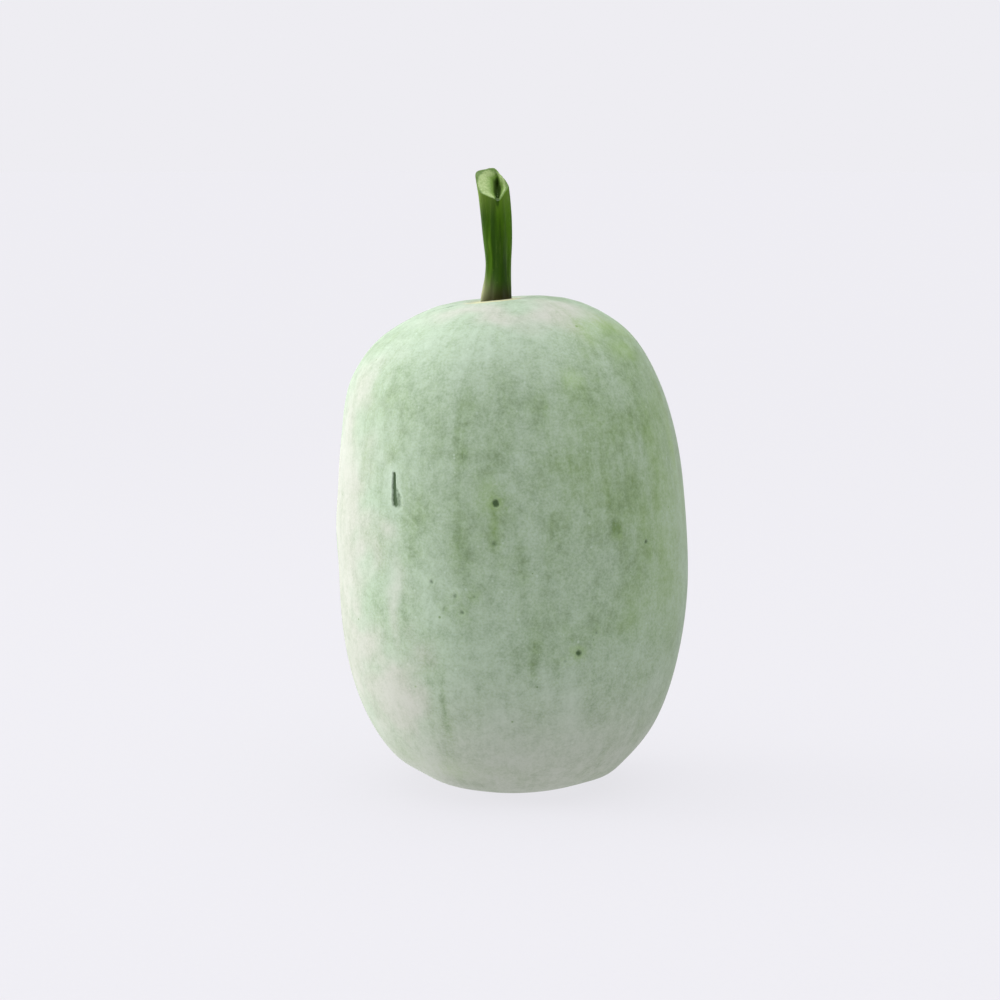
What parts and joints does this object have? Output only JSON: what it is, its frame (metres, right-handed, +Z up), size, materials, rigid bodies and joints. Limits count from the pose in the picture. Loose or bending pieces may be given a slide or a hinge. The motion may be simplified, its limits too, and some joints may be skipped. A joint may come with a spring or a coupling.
{
  "type": "ash gourd",
  "caption": "Whole ash gourd: a pale, wax-coated barrel-shaped fruit with a short ridged green stem, standing on its flattened blossom end.",
  "frame": {"origin": "centre of the flat spot at the blossom end, on the surface the gourd stands on", "axes": "+Z up along the fruit towards the stem; -Y is the side the slanting cut of the stem faces; the upper end leans slightly towards -X"},
  "size_m": [0.1731, 0.1678, 0.3096],
  "materials": {
    "waxy_skin": "matte",
    "stem_green": "satin"
  },
  "bodies": {
    "root": {"fruit": "waxy_skin", "stem": "stem_green"}
  },
  "joints": []
}
